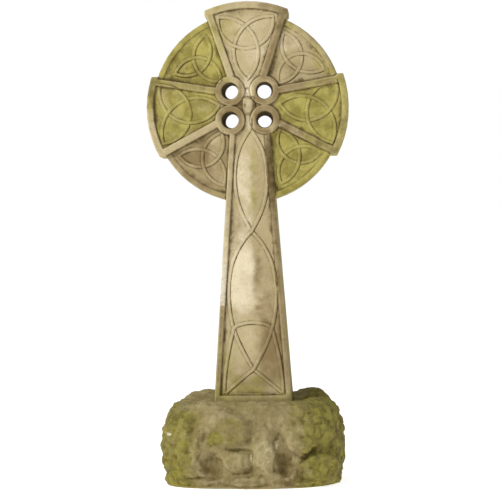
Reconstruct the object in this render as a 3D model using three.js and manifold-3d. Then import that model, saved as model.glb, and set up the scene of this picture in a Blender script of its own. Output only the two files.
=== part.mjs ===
// A ringed cross memorial in cast stone: a wheel-headed cross and its tapering shaft, cast as one piece,
// whose foot stands in a shallow seat cut in a rough boulder. The front carries knotwork, the back is plain.
// Millimetres, +Z up, the carved front towards -Y. The origin is on the ground under the middle of the head.
import * as THREE from 'three';
import { mergeVertices } from 'three/addons/utils/BufferGeometryUtils.js';
import Module from 'manifold-3d';

// The boulder
const BOULDER_WIDTH = 458;
const BOULDER_DEPTH = 292;
const BOULDER_HEIGHT = 206;
const BOULDER_SHIFT = -2.5;
const BACK_SHOULDER_RISE = 10;
const SEAT_DEPTH = 15;
const SEAT_GAP = 0.3;

// The shaft, from the bottom of its foot to the middle of the wheel
const SHAFT_LENGTH = 745.7;
const SHAFT_FOOT_WIDTH = 195;
const SHAFT_NECK_WIDTH = 90;
const SHAFT_SHIFT = 5;
const SHAFT_BORDER = 13;
const SHAFT_FOOT_BORDER = 29;

// The wheel behind the arms
const WHEEL_RADIUS = 237;
const WHEEL_THICKNESS = 66;
const RIM_WIDTH = 14;
const RIM_HEIGHT = 3;

// The arms: how far each end reaches from the middle of the wheel, and half its width there
const TOP_ARM_REACH = 263;
const TOP_ARM_HALF_END = 104;
const SIDE_ARM_REACH = 251.5;
const SIDE_ARM_UPPER_END = 79;
const SIDE_ARM_LOWER_END = 121;
const ARM_HALF_NECK = 49;
const ARM_NECK_REACH = 74;
const ARM_LIP = 20;
const ARM_LIP_STEP = 6;
const ARM_BORDER = 17;
const ARM_THICKNESS = 90;
const PANEL_DEPTH = 6;
const BACK_PANEL_DEPTH = 4;
const EDGE_CHAMFER = 3;

// The four holes through the head, each in a raised collar
const HOLE_RADIUS = 21.5;
const HOLE_SIDE_STEP = 43.5;
const HOLE_UP_STEP = 36.3;
const HOLE_RISE = 4;
const HOLE_CONVERGENCE = 5;
const COLLAR_WIDTH = 15;

// The whole cross thins upwards: its depth at the foot as a share of its depth at the wheel
const FOOT_DEPTH_SHARE = 1.28;

// The raised cords of the knotwork
const CORD_WIDTH = 9;
const CORD_HEIGHT = 4.5;
const CORD_TOP_WIDTH = 3.6;
const CORD_SHOULDER = 1.8;
const CORD_SINK = 2;
const ARC_BULGE = 0.53;
const PLAIT_SHIFT = 1.5;
const PLAIT_FILL = 0.9;
const ARCH_FILL = 0.69;
const ARCH_RISE = 19;
const CORNER_INSET = 14.4;

// The shield-shaped boss in the middle of the head
const BOSS_WIDTH = 28;
const BOSS_LENGTH = 40;
const BOSS_HEIGHT = 5;
const BOSS_CHAMFER = 1.8;

// Facets
const CIRCLE_STEPS = 64;
const HOLE_STEPS = 24;
const ARC_STEPS = 8;
const LOBE_STEPS = 11;
const BOULDER_TURNS = 72;

const FOOT_Z = BOULDER_HEIGHT - SEAT_DEPTH + SEAT_GAP;
const WHEEL_Z = FOOT_Z + SHAFT_LENGTH;
const ARM_FACE = ARM_THICKNESS / 2;
const PANEL_FACE = ARM_FACE - PANEL_DEPTH;
const WHEEL_FACE = WHEEL_THICKNESS / 2;
const COLLAR_RADIUS = HOLE_RADIUS + COLLAR_WIDTH;

const wasm = await Module();
wasm.setup();

function solidOf(geometry) {
  const bare = geometry.clone();
  bare.deleteAttribute('normal');
  bare.deleteAttribute('uv');
  const merged = mergeVertices(bare, 1e-4);
  return new wasm.Manifold(new wasm.Mesh({
    numProp: 3,
    vertProperties: Float32Array.from(merged.attributes.position.array),
    triVerts: Uint32Array.from(merged.index.array),
  }));
}

function geometryOf(solid) {
  const mesh = solid.getMesh();
  const geometry = new THREE.BufferGeometry();
  geometry.setAttribute('position', new THREE.BufferAttribute(Float32Array.from(mesh.vertProperties), 3));
  geometry.setIndex(new THREE.BufferAttribute(Uint32Array.from(mesh.triVerts), 1));
  return geometry;
}

function joined(solids) {
  return solids.reduce((whole, solid) => whole.add(solid));
}

// A plate with its outline in x and z. Its two faces lie at distances from the mid-plane, counted
// towards the front.
function plateGeometry(outline, from, to, chamfer = 0) {
  const geometry = new THREE.ExtrudeGeometry(new THREE.Shape(outline), {
    depth: to - from - 2 * chamfer,
    bevelEnabled: chamfer > 0,
    bevelThickness: chamfer,
    bevelSize: chamfer,
    bevelOffset: -chamfer,
    bevelSegments: 1,
  });
  geometry.translate(0, 0, from + chamfer);
  geometry.rotateX(Math.PI / 2);
  return geometry;
}

function plate(outline, from, to, chamfer = 0) {
  return solidOf(plateGeometry(outline, from, to, chamfer));
}

function arcPoints(x, z, radius, start, end, steps) {
  const points = [];
  for (let i = 0; i <= steps; i += 1) {
    const angle = start + (end - start) * i / steps;
    points.push(new THREE.Vector2(x + radius * Math.cos(angle), z + radius * Math.sin(angle)));
  }
  return points;
}

function circlePoints(x, z, radius, steps) {
  return arcPoints(x, z, radius, 0, 2 * Math.PI * (1 - 1 / steps), steps - 1);
}

// How much deeper the cross is at a height than at the middle of its wheel
function depthShare(z) {
  return 1 + (FOOT_DEPTH_SHARE - 1) * (WHEEL_Z - z) / SHAFT_LENGTH;
}

// One arm, drawn along its own length from the middle of the wheel and then turned to its place. The sides
// flare to a lip at the end, which is an arc about the middle of the wheel. An inset draws the panel inside
// its border.
function armOutline(reach, leftEnd, rightEnd, turn, inset = 0) {
  const radius = reach - inset;
  const side = (half) => {
    const lip = Math.sqrt(reach * reach - half * half) - ARM_LIP;
    const slope = (half - ARM_LIP_STEP - ARM_HALF_NECK) / (lip - ARM_NECK_REACH);
    const start = ARM_HALF_NECK - inset * Math.hypot(1, slope);
    const points = [new THREE.Vector2(0, start), new THREE.Vector2(ARM_NECK_REACH, start)];
    if (inset > 0) {
      // The panel's side meets its end arc where the sloping line crosses the circle
      const rise = start - slope * ARM_NECK_REACH;
      const along = (Math.sqrt(radius * radius * (1 + slope * slope) - rise * rise) - slope * rise)
        / (1 + slope * slope);
      points.push(new THREE.Vector2(along, rise + slope * along));
    } else {
      points.push(new THREE.Vector2(lip, half - ARM_LIP_STEP));
      points.push(new THREE.Vector2(lip + ARM_LIP_STEP, half));
      points.push(new THREE.Vector2(lip + ARM_LIP, half));
    }
    return points;
  };
  const right = side(rightEnd).map((p) => new THREE.Vector2(p.x, -p.y));
  const left = side(leftEnd).reverse();
  const from = Math.atan2(right[right.length - 1].y, right[right.length - 1].x);
  const to = Math.atan2(left[0].y, left[0].x);
  const end = arcPoints(0, 0, radius, from, to, ARC_STEPS).slice(1, -1);
  const outline = [...right, ...end, ...left];
  const middle = new THREE.Vector2(0, WHEEL_Z);
  return outline.map((p) => p.rotateAround(new THREE.Vector2(0, 0), turn).add(middle));
}

const arms = [
  { reach: TOP_ARM_REACH, left: TOP_ARM_HALF_END, right: TOP_ARM_HALF_END, turn: Math.PI / 2 },
  { reach: SIDE_ARM_REACH, left: SIDE_ARM_UPPER_END, right: SIDE_ARM_LOWER_END, turn: 0 },
  { reach: SIDE_ARM_REACH, left: SIDE_ARM_LOWER_END, right: SIDE_ARM_UPPER_END, turn: Math.PI },
];

function shaftHalfWidth(z) {
  const share = (z - FOOT_Z) / SHAFT_LENGTH;
  return THREE.MathUtils.lerp(SHAFT_FOOT_WIDTH, SHAFT_NECK_WIDTH, share) / 2;
}

function shaftOutline(inset, bottom) {
  const low = shaftHalfWidth(bottom) - inset;
  const high = shaftHalfWidth(WHEEL_Z) - inset;
  return [
    new THREE.Vector2(SHAFT_SHIFT - low, bottom),
    new THREE.Vector2(SHAFT_SHIFT + low, bottom),
    new THREE.Vector2(SHAFT_SHIFT + high, WHEEL_Z),
    new THREE.Vector2(SHAFT_SHIFT - high, WHEEL_Z),
  ];
}

const holes = [];
for (const side of [-1, 1]) {
  for (const up of [-1, 1]) {
    holes.push({ side, x: side * HOLE_SIDE_STEP, z: WHEEL_Z + HOLE_RISE + up * HOLE_UP_STEP });
  }
}

// A round plug along a hole. The holes lean together towards the back, and so do their collars.
function plug(hole, radius, from, to, chamfer = 0) {
  const lean = -hole.side * HOLE_CONVERGENCE / ARM_THICKNESS;
  const outline = circlePoints(hole.x + lean * ARM_FACE, hole.z, radius, HOLE_STEPS);
  const straight = plateGeometry(outline, from, to, chamfer);
  straight.applyMatrix4(new THREE.Matrix4().makeShear(0, 0, lean, 0, 0, 0));
  return solidOf(straight);
}

// A raised cord that follows points on a face of the cross
function cord(points, face) {
  const half = CORD_WIDTH / 2;
  const halfTop = CORD_TOP_WIDTH / 2;
  const section = new THREE.Shape([
    new THREE.Vector2(-CORD_SINK, -half),
    new THREE.Vector2(CORD_SHOULDER, -half),
    new THREE.Vector2(CORD_HEIGHT, -halfTop),
    new THREE.Vector2(CORD_HEIGHT, halfTop),
    new THREE.Vector2(CORD_SHOULDER, half),
    new THREE.Vector2(-CORD_SINK, half),
  ]);
  const path = new THREE.CatmullRomCurve3(points.map((p) => new THREE.Vector3(p.x, -face, p.y)));
  return solidOf(new THREE.ExtrudeGeometry(section, { steps: points.length - 1, extrudePath: path }));
}

// Points of a round arc between two tips of a knot, bulging towards the third
function bulgingArc(start, end, third) {
  const middle = start.clone().add(end).multiplyScalar(0.5);
  const chord = end.clone().sub(start);
  const across = new THREE.Vector2(-chord.y, chord.x).normalize();
  const height = ARC_BULGE * third.clone().sub(middle).dot(across);
  const half = chord.length() / 2;
  const radius = (half * half + height * height) / (2 * Math.abs(height));
  const centre = middle.clone().addScaledVector(across, height - Math.sign(height) * radius);
  const from = Math.atan2(start.y - centre.y, start.x - centre.x);
  const span = 4 * Math.atan2(height, half);
  return arcPoints(centre.x, centre.y, radius, from, from - span, ARC_STEPS);
}

// A triquetra: three arcs, each from one tip to the next
function triquetra(tips, face) {
  return tips.map((tip, i) => cord(bulgingArc(tip, tips[(i + 1) % 3], tips[(i + 2) % 3]), face));
}

// The triquetras: their tips as turns in degrees and shares of the reach of the arm or wheel that
// carries them
const knots = [
  { reach: TOP_ARM_REACH, face: PANEL_FACE, tips: [[107.5, 0.89], [73.5, 0.89], [91, 0.26]] },
  { reach: SIDE_ARM_REACH, face: PANEL_FACE, tips: [[165.5, 0.9], [202.5, 0.91], [176, 0.28]] },
  { reach: SIDE_ARM_REACH, face: PANEL_FACE, tips: [[-24, 0.91], [16, 0.91], [5, 0.325]] },
  { reach: WHEEL_RADIUS, face: WHEEL_FACE, tips: [[118, 0.88], [153, 0.85], [133, 0.41]] },
  { reach: WHEEL_RADIUS, face: WHEEL_FACE, tips: [[63, 0.89], [26, 0.89], [38, 0.41]] },
  { reach: WHEEL_RADIUS, face: WHEEL_FACE, tips: [[-147, 0.88], [-110, 0.835], [-139, 0.39]] },
  { reach: WHEEL_RADIUS, face: WHEEL_FACE, tips: [[-34, 0.88], [-67, 0.855], [-35, 0.41]] },
];

function knotwork() {
  return knots.flatMap(({ reach, face, tips }) => triquetra(tips.map(([degrees, share]) => {
    const angle = THREE.MathUtils.degToRad(degrees);
    return new THREE.Vector2(reach * share * Math.cos(angle), WHEEL_Z + reach * share * Math.sin(angle));
  }), face));
}

function shaftHeight(share) {
  return FOOT_Z + SHAFT_LENGTH * share;
}

function shaftPanelHalf(z) {
  return shaftHalfWidth(z) - SHAFT_BORDER;
}

// Half the width of the plait between one crossing and the next below it. The lean makes it fullest a
// little high, and the fullness rounds its shoulders.
const LOBE_FULLNESS = 0.2;

function lobe(share, width, lean) {
  const turn = Math.PI * share ** lean;
  return width * Math.sin(turn) * (1 + LOBE_FULLNESS * Math.cos(turn) ** 2);
}

// The two cords of the plait cross three times, then run out to the bottom corners of the panel
const crossings = [0.926, 0.585, 0.125].map(shaftHeight);
const lobeLeans = [0.934, 0.87];
const cornerHeight = shaftHeight(0.05);
const cornerHalf = shaftPanelHalf(cornerHeight) - CORNER_INSET;
const CORNER_BEND = 0.52;

function plaitCord(side) {
  const centre = SHAFT_SHIFT + PLAIT_SHIFT;
  const points = [new THREE.Vector2(centre + side * CORD_SINK, crossings[0] + 3 * CORD_WIDTH)];
  let sign = side;
  lobeLeans.forEach((lean, i) => {
    const width = PLAIT_FILL * shaftPanelHalf((crossings[i] + crossings[i + 1]) / 2);
    for (let k = 0; k < LOBE_STEPS; k += 1) {
      const share = k / LOBE_STEPS;
      const z = THREE.MathUtils.lerp(crossings[i], crossings[i + 1], share);
      points.push(new THREE.Vector2(centre + sign * lobe(share, width, lean), z));
    }
    sign = -sign;
  });
  points.push(new THREE.Vector2(centre, crossings[2]));
  const bendHeight = (crossings[2] + cornerHeight) / 2;
  points.push(new THREE.Vector2(centre + sign * cornerHalf * CORNER_BEND, bendHeight));
  points.push(new THREE.Vector2(centre + sign * cornerHalf, cornerHeight));
  return cord(points, PANEL_FACE);
}

// The third cord rises from the same corners and closes in an arch
const ARCH_SPRING = 0.256;
const archLegShares = [0.35, 0.7, 1];

function archCord() {
  const spring = shaftHeight(ARCH_SPRING);
  const halfFoot = cornerHalf + (CORD_WIDTH + CORD_SINK) / 2;
  const halfSpring = ARCH_FILL * shaftPanelHalf(spring);
  const centre = SHAFT_SHIFT + PLAIT_SHIFT;
  const points = arcPoints(0, 0, 1, Math.PI, 0, ARC_STEPS).map(
    (p) => new THREE.Vector2(centre + p.x * halfSpring, spring + p.y * ARCH_RISE),
  );
  for (const side of [-1, 1]) {
    for (const share of archLegShares) {
      const z = THREE.MathUtils.lerp(spring, cornerHeight, share);
      const half = THREE.MathUtils.lerp(halfSpring, halfFoot, Math.sin(share * Math.PI / 2));
      const point = new THREE.Vector2(centre + side * half, z);
      if (side < 0) points.unshift(point);
      else points.push(point);
    }
  }
  return cord(points, PANEL_FACE);
}

// The boss is as wide as a shield at the top and runs to a point: its corners as shares of half its width
// and half its length
const bossCorners = [[-1, 1], [-0.55, -0.36], [0, -1], [0.55, -0.36], [1, 1]];

function boss() {
  const z = WHEEL_Z + HOLE_RISE;
  const outline = bossCorners.map(
    ([across, up]) => new THREE.Vector2(across * BOSS_WIDTH / 2, z + up * BOSS_LENGTH / 2),
  );
  return plate(outline, PANEL_FACE - CORD_SINK, PANEL_FACE + BOSS_HEIGHT, BOSS_CHAMFER);
}

// The sunk panels of arms and shaft run together in the middle of the head, round the collars
function panels(face) {
  const range = face > 0 ? [face, ARM_THICKNESS] : [-ARM_THICKNESS, face];
  const sunk = arms.map((arm) => (
    plate(armOutline(arm.reach, arm.left, arm.right, arm.turn, ARM_BORDER), ...range)
  ));
  sunk.push(plate(shaftOutline(SHAFT_BORDER, FOOT_Z + SHAFT_FOOT_BORDER), ...range));
  let whole = joined(sunk);
  for (const hole of holes) {
    whole = whole.subtract(plug(hole, COLLAR_RADIUS, ...range));
  }
  return whole;
}

function crossGeometry() {
  const rim = WHEEL_FACE + RIM_HEIGHT;
  let body = plate(circlePoints(0, WHEEL_Z, WHEEL_RADIUS, CIRCLE_STEPS), -rim, rim, EDGE_CHAMFER);
  const well = circlePoints(0, WHEEL_Z, WHEEL_RADIUS - RIM_WIDTH, CIRCLE_STEPS);
  body = body.subtract(plate(well, WHEEL_FACE, ARM_FACE));
  body = body.subtract(plate(well, -ARM_FACE, -WHEEL_FACE));
  const raised = arms.map((arm) => (
    plate(armOutline(arm.reach, arm.left, arm.right, arm.turn), -ARM_FACE, ARM_FACE, EDGE_CHAMFER)
  ));
  raised.push(plate(shaftOutline(0, FOOT_Z), -ARM_FACE, ARM_FACE, EDGE_CHAMFER));
  for (const hole of holes) {
    raised.push(plug(hole, COLLAR_RADIUS, -ARM_FACE, ARM_FACE, EDGE_CHAMFER));
  }
  body = joined([body, ...raised]);
  body = body.subtract(panels(PANEL_FACE));
  body = body.subtract(panels(-(ARM_FACE - BACK_PANEL_DEPTH)));
  body = joined([body, ...knotwork(), plaitCord(-1), plaitCord(1), archCord(), boss()]);
  for (const hole of holes) {
    body = body.subtract(plug(hole, HOLE_RADIUS, -ARM_THICKNESS, ARM_THICKNESS));
  }
  const geometry = geometryOf(body);
  const place = geometry.attributes.position;
  for (let i = 0; i < place.count; i += 1) place.setY(i, place.getY(i) * depthShare(place.getZ(i)));
  return geometry;
}

// The boulder's outline from the ground up: shares of its half-width and of its height
const boulderProfile = [
  [0, 0], [0.45, 0], [0.75, 0], [0.92, 0], [0.955, 0.035], [0.975, 0.12], [0.985, 0.22],
  [0.995, 0.34], [1, 0.46], [0.99, 0.56], [0.975, 0.66], [0.955, 0.76], [0.93, 0.85],
  [0.89, 0.92], [0.84, 0.97], [0.76, 1], [0.66, 1.01], [0.55, 1], [0.3, 1], [0, 1],
];

// The boulder is squarer than an ellipse in plan
const BOULDER_SQUARENESS = 3.3;

// Blocks, ledges and hollows of the boulder's front: each has its middle and its reach to the sides and
// up, as shares of the boulder's half-width and height, and stands out by a share of its half-depth
const boulderForms = [
  { x: -0.24, z: 0.74, wide: 0.34, high: 0.28, out: 0.08 },
  { x: -0.17, z: 0.34, wide: 0.2, high: 0.175, out: 0.04 },
  { x: 0.16, z: 0.42, wide: 0.157, high: 0.3, out: 0.1 },
  { x: 0.367, z: 0.37, wide: 0.087, high: 0.26, out: -0.1 },
  { x: 0.62, z: 0.69, wide: 0.32, high: 0.3, out: 0.07 },
  { x: 0.8, z: 0.24, wide: 0.26, high: 0.23, out: 0.07 },
  { x: -0.75, z: 0.5, wide: 0.28, high: 0.49, out: 0.06 },
  { x: -0.4, z: 0.29, wide: 0.114, high: 0.22, out: -0.09 },
  { x: 0.087, z: 0.07, wide: 0.35, high: 0.107, out: 0.06 },
];

// The share of a form's reach over which its edge slopes off
const FORM_EDGE = 0.45;

// Swells of the whole boulder, front and back: waves round it and up it, and how far they stand out as a
// share of its half-depth
const boulderSwells = [
  { around: 3, up: 1.2, phase: 0.7, out: 0.02 },
  { around: 5, up: -2.1, phase: 2.1, out: 0.017 },
  { around: 8, up: 3.3, phase: 4.4, out: 0.014 },
];

// Where the forms fade in from the sides to the front, where all of them fade in from the flat top and
// bottom, and where the top's edge rises behind the shaft: a start and an end, as shares
const FORM_FADE = [0.35, 0.8];
const FLAT_FADE = [0.8, 0.92];
const SHOULDER_OUTWARDS = [0.55, 0.8];
const SHOULDER_UPWARDS = [0.8, 0.97];
const SHOULDER_BACKWARDS = [-0.2, 0.6];

function formHeight(x, z) {
  let out = 0;
  for (const form of boulderForms) {
    const distance = Math.hypot((x - form.x) / form.wide, (z - form.z) / form.high);
    out += form.out * (1 - THREE.MathUtils.smoothstep(distance, 1 - FORM_EDGE, 1));
  }
  return out;
}

function boulderGeometry() {
  const points = boulderProfile.map(([wide, high]) => new THREE.Vector2(wide, high));
  const geometry = new THREE.LatheGeometry(points, BOULDER_TURNS);
  geometry.rotateX(Math.PI / 2);
  const halfWidth = BOULDER_WIDTH / 2;
  const halfDepth = BOULDER_DEPTH / 2;
  const { smoothstep } = THREE.MathUtils;
  const place = geometry.attributes.position;
  for (let i = 0; i < place.count; i += 1) {
    const around = Math.atan2(place.getY(i), place.getX(i));
    const wide = Math.hypot(place.getX(i), place.getY(i));
    const up = place.getZ(i);
    const across = Math.cos(around);
    const back = Math.sin(around);
    const corner = (Math.abs(across) ** BOULDER_SQUARENESS + Math.abs(back) ** BOULDER_SQUARENESS)
      ** (-1 / BOULDER_SQUARENESS);
    const x = wide * corner * across * halfWidth;
    const y = wide * corner * back * halfDepth;
    let out = 0;
    for (const swell of boulderSwells) {
      out += swell.out * Math.sin(swell.around * around + swell.up * up + swell.phase);
    }
    if (y < 0) out += formHeight(x / halfWidth, up) * smoothstep(-y / halfDepth, ...FORM_FADE);
    out *= halfDepth * smoothstep(wide, ...FLAT_FADE);
    const shoulder = smoothstep(wide, ...SHOULDER_OUTWARDS) * smoothstep(up, ...SHOULDER_UPWARDS)
      * smoothstep(back, ...SHOULDER_BACKWARDS);
    const z = up * BOULDER_HEIGHT + BACK_SHOULDER_RISE * shoulder;
    place.setXYZ(i, x + out * across + BOULDER_SHIFT, y + out * back, z);
  }
  // The boulder's box, lumps and all, is centred front to back under the cross
  geometry.computeBoundingBox();
  geometry.translate(0, -(geometry.boundingBox.min.y + geometry.boundingBox.max.y) / 2, 0);
  let body = solidOf(geometry);
  const footHalfWidth = shaftHalfWidth(FOOT_Z) + SEAT_GAP;
  const footHalfDepth = ARM_FACE * depthShare(FOOT_Z) + SEAT_GAP;
  const seat = new THREE.BoxGeometry(2 * footHalfWidth, 2 * footHalfDepth, BOULDER_HEIGHT);
  seat.translate(SHAFT_SHIFT, 0, BOULDER_HEIGHT * 1.5 - SEAT_DEPTH);
  body = body.subtract(solidOf(seat));
  return geometryOf(body);
}

const castStone = new THREE.MeshStandardMaterial({ color: 0xb3a27f, roughness: 0.9, metalness: 0 });
const mossyBoulder = new THREE.MeshStandardMaterial({ color: 0x7f7648, roughness: 0.95, metalness: 0 });

function piece(name, geometry, material) {
  geometry.computeVertexNormals();
  const mesh = new THREE.Mesh(geometry, material);
  mesh.name = name;
  return mesh;
}

const memorial = new THREE.Group();
memorial.add(piece('cross', crossGeometry(), castStone));
memorial.add(piece('rock_plinth', boulderGeometry(), mossyBoulder));

export default memorial;
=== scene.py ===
"""A ringed cross memorial: a cast-stone wheel cross with knotwork on its front, standing in a boulder."""

import math

import bpy
import numpy as np
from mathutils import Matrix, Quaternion, Vector, noise


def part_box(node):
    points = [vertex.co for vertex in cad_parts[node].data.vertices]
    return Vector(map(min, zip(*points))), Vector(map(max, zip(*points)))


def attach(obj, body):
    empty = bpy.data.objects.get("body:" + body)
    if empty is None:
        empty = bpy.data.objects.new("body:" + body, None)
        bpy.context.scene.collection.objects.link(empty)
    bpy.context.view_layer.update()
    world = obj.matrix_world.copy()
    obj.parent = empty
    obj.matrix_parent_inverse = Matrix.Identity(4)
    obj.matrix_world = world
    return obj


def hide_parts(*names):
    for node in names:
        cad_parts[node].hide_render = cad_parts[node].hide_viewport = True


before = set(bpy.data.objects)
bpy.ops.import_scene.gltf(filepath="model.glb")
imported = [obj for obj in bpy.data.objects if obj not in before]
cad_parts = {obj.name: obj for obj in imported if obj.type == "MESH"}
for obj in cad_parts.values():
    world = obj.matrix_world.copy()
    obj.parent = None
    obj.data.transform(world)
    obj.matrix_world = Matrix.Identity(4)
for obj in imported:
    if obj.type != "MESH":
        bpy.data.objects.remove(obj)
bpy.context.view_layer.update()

# The camera stands about 4 m in front of the memorial at half its height, a little to the right of its
# middle, and is tilted a little on its axis. A long lens keeps the shaft's sides nearly parallel.
CAMERA_DISTANCE = 4.0
CAMERA_HEIGHT = 0.6
CAMERA_AZIMUTH = math.radians(3.5)
CAMERA_ROLL = math.radians(0.8)
AIM = Vector((-0.0008, 0, 0.581))
SENSOR_MM = 36
LENS_MM = 114.7

camera_data = bpy.data.cameras.new("camera")
camera = bpy.data.objects.new("camera", camera_data)
bpy.context.collection.objects.link(camera)
bpy.context.scene.camera = camera
camera.location = (
    CAMERA_DISTANCE * math.sin(CAMERA_AZIMUTH),
    -CAMERA_DISTANCE * math.cos(CAMERA_AZIMUTH),
    CAMERA_HEIGHT,
)
camera.rotation_mode = "QUATERNION"
facing = (AIM - camera.location).to_track_quat("-Z", "Y")
camera.rotation_quaternion = facing @ Quaternion((0, 0, 1), -CAMERA_ROLL)
camera_data.sensor_width = SENSOR_MM
camera_data.lens = LENS_MM

# The studio: one large soft light high on the left, a pale even surround, and a plain pale floor that runs
# out to the horizon.
KEY_PLACE = Vector((-3.2, -2.9, 3.9))
KEY_AIM = Vector((0, 0, 0.6))
KEY_SIZE = 1.1
KEY_WATTS = 188
SURROUND_LIGHT = 0.43
FLOOR_SIZE = 60
FLOOR_GLOW = 0.74

bpy.context.scene.view_settings.view_transform = "Standard"
surround = bpy.data.worlds.new("pale_surround")
bpy.context.scene.world = surround
surround.use_nodes = True

lamp = bpy.data.lights.new("key_light", "AREA")
lamp.shape = "DISK"
lamp.size = KEY_SIZE
lamp.energy = KEY_WATTS
key_light = bpy.data.objects.new("key_light", lamp)
bpy.context.collection.objects.link(key_light)
key_light.location = KEY_PLACE
key_light.rotation_mode = "QUATERNION"
key_light.rotation_quaternion = (KEY_AIM - KEY_PLACE).to_track_quat("-Z", "Y")


def linear(hex_colour):
    """A colour from its sRGB hex value, as the shaders count it."""
    channels = [int(hex_colour[i:i + 2], 16) / 255 for i in (1, 3, 5)]
    return (*(c / 12.92 if c <= 0.04045 else ((c + 0.055) / 1.055) ** 2.4 for c in channels), 1)


def node(tree, kind, settings=None, **inputs):
    """Adds a node. An input is named by its label or, with a leading in_, by its number."""
    made = tree.nodes.new(kind)
    for key, value in (settings or {}).items():
        setattr(made, key, value)
    for key, value in inputs.items():
        socket = made.inputs[int(key[3:])] if key.startswith("in_") else made.inputs[key.replace("_", " ")]
        if isinstance(value, bpy.types.NodeSocket):
            tree.links.new(value, socket)
        else:
            socket.default_value = value
    return made


def new_material(name):
    """An empty material and its node tree."""
    made = bpy.data.materials.new(name)
    made.use_nodes = True
    made.node_tree.nodes.clear()
    return made, made.node_tree


# The surround is white behind the memorial, and lights it less than it shows
tree = surround.node_tree
tree.nodes.clear()
rays = node(tree, "ShaderNodeLightPath")
seen = node(tree, "ShaderNodeMapRange", in_0=rays.outputs["Is Camera Ray"], in_3=SURROUND_LIGHT, in_4=1.0)
sky = node(tree, "ShaderNodeBackground", Color=(1, 1, 1, 1), Strength=seen.outputs[0])
node(tree, "ShaderNodeOutputWorld", Surface=sky.outputs[0])

bpy.ops.object.select_all(action="DESELECT")
bpy.ops.mesh.primitive_plane_add(size=FLOOR_SIZE)
floor = bpy.context.object
floor.name = "floor"

# Acrylic sheet, matt and lit through: to the eye it is an even white out to the horizon, and the boulder's
# soft shadow still shows on it
floor_paint, tree = new_material("lit_white_acrylic_floor")
paint = node(tree, "ShaderNodeBsdfDiffuse", Color=linear("#E6E6E6"))
glow = node(tree, "ShaderNodeEmission", Color=(1, 1, 1, 1), Strength=FLOOR_GLOW)
both = node(tree, "ShaderNodeAddShader", in_0=paint.outputs[0], in_1=glow.outputs[0])
node(tree, "ShaderNodeOutputMaterial", Surface=both.outputs[0])
floor.data.materials.append(floor_paint)

# The boulder: cast in the same stone as the cross, but left as rough as a rock, with ledges, lumps and pits.
# Its flat top has a shallow seat for the shaft's foot, and moss has settled at both ends of it.
WELD_DISTANCE = 0.00001
ROCK_VOXEL = 0.0034
ROCK_FINE_VOXEL = 0.0027

# The seat in the top, in millimetres, the height from which points keep clear of it, and how far from it
# and from the underside the roughness reaches its full strength
SEAT_MIDDLE = 5
SEAT_HALF_WIDTH = 97.8
SEAT_HALF_DEPTH = 57.9
SEAT_FROM = 150
SEAT_MARGIN = 14
UNDERSIDE_MARGIN = 6

# The roughness all round, in millimetres: how far it stands out or in, and how broad it is
SWELL_RISE = 8
SWELL_SIZE = 80
KNOB_RISE = 6
KNOB_SIZE = 44
LUMP_RISE = 2.0
LUMP_SIZE = 23
GRAIN_RISE = 1.5
GRAIN_SIZE = 9.5
ROCK_PIT_DEPTH = 2.0
ROCK_PIT_SPACING = 24

# All but the top is drawn in, and the front more, which leaves room for the lumps. The middle of the front
# is calmer: how far to both sides, where the knobs and the fine relief are full again, and the middle that
# the relief is measured from
SIDES_DRAWN_IN = 2.5
FRONT_DRAWN_IN = 3.5
CALM_REACH = 90
KNOBS_FULL = 140
RELIEF_FULL = 150
RELIEF_MIDDLE = -10

# How near to the box's ends, its faces and its top the points are eased back
END_ROOM = 4
FACE_ROOM = 5
TOP_ROOM = 4

# Blocks, lumps, ledges and hollows of the front, in millimetres: where each lies, its reach to the sides and
# up, its turn in degrees, how far it stands out, and how much of its reach its edge takes
ROCK_FORMS = [
    (-57, 148, 66, 50, -3, 12, 0.4),
    (-28, 95, 42, 6, -2, -9, 0.9),
    (-14, 122, 16, 30, 12, 3, 1),
    (-30, 67, 42, 29, 3, 7, 0.35),
    (-23, 68, 9, 24, 2, 4, 1),
    (-26, 39, 38, 7, 9, -6, 1),
    (36, 82, 35, 56, -4, 5, 0.45),
    (42, 126, 28, 28, 0, 3, 1),
    (30, 158, 60, 26, 6, 4, 1),
    (1, 72, 6, 32, 0, -7, 1),
    (88, 68, 25, 44, 8, -7.5, 1),
    (65, 64, 7, 36, -6, -5, 1),
    (70, 128, 9, 34, -12, -4, 1),
    (128, 122, 52, 42, 24, 12, 0.4),
    (152, 90, 46, 10, 42, -12, 1),
    (174, 44, 58, 46, -6, 12, 0.4),
    (186, 148, 34, 44, 0, 6, 0.8),
    (97, 28, 19, 16, 0, 6, 1),
    (126, 62, 20, 24, 20, 4, 1),
    (-178, 130, 44, 54, 0, 7, 0.7),
    (-158, 52, 50, 44, 10, 8, 0.7),
    (-196, 146, 15, 13, 0, 6, 1),
    (-157, 131, 18, 16, 0, 7, 1),
    (-135, 68, 17, 15, 0, 7, 1),
    (-188, 94, 20, 16, 0, 6, 1),
    (-205, 52, 17, 18, 0, 5, 1),
    (-112, 132, 9, 44, -6, -6, 1),
    (-92, 60, 30, 40, 5, -6.5, 1),
    (-4, 19, 62, 16, 2, 8, 0.5),
    (-38, 4, 70, 9, 2, -5, 1),
    (-126, 15, 70, 10, 3, 6, 0.6),
    (-118, 27, 60, 5, 4, -4, 1),
    (150, 12, 60, 9, -2, 4, 0.8),
]

# The rim of the top stands up at both back corners, and a hollow lies behind the foot on the right: where
# each lies, its reach and its rise, and how far the rim may stand above the solid's top
RIM_FORMS = [
    (-122, 96, 208, 56, 8),
    (-204, 40, 206, 72, -13),
    (-204, 100, 206, 60, -8),
    (150, 92, 208, 56, 13),
    (204, 60, 206, 50, -7),
    (128, 18, 212, 34, -9),
    (66, 130, 210, 52, 4),
]
RIM_ROOM = 13


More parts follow.
